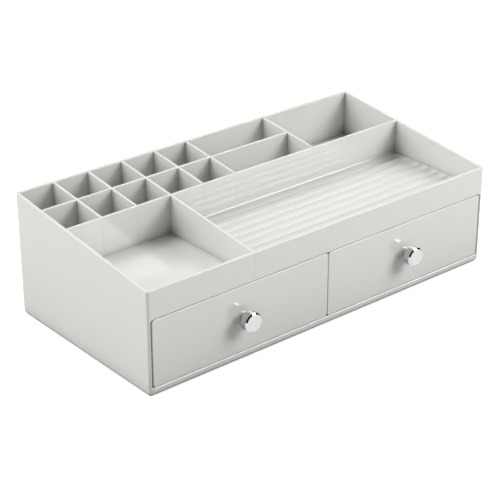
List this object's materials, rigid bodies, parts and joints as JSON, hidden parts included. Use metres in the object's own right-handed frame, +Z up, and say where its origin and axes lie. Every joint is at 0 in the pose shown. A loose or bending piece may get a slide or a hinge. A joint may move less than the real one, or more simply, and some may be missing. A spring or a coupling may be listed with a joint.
{
  "type": "makeup organizer with drawers",
  "caption": "Low moulded plastic vanity organizer with open cells and trays under a sloping rim, above sliding drawers with chrome knobs.",
  "frame": {"origin": "on the table, under the middle of the box round the part, knobs included", "axes": "+X to the right along the width, +Y to the back, +Z up; the drawers open towards -Y"},
  "size_m": [0.31, 0.1618, 0.094],
  "materials": {
    "grey_plastic": "glossy moulded",
    "chrome": "polished chrome plate",
    "steel": "zinc plated",
    "rubber": "matt"
  },
  "bodies": {
    "case": {"case_body": "grey_plastic", "foot_front_left": "rubber", "foot_front_right": "rubber", "foot_back_left": "rubber", "foot_back_right": "rubber"},
    "left_drawer": {"drawer_left": "grey_plastic", "knob_left": "chrome", "knob_screw_left": "steel"},
    "right_drawer": {"drawer_right": "grey_plastic", "knob_right": "chrome", "knob_screw_right": "steel"}
  },
  "joints": [
    {"name": "left_drawer_slide", "type": "slide", "parent": "case", "child": "left_drawer", "axis": [0, -1, 0], "range_m": [0, 0.115]},
    {"name": "right_drawer_slide", "type": "slide", "parent": "case", "child": "right_drawer", "axis": [0, -1, 0], "range_m": [0, 0.115]}
  ]
}
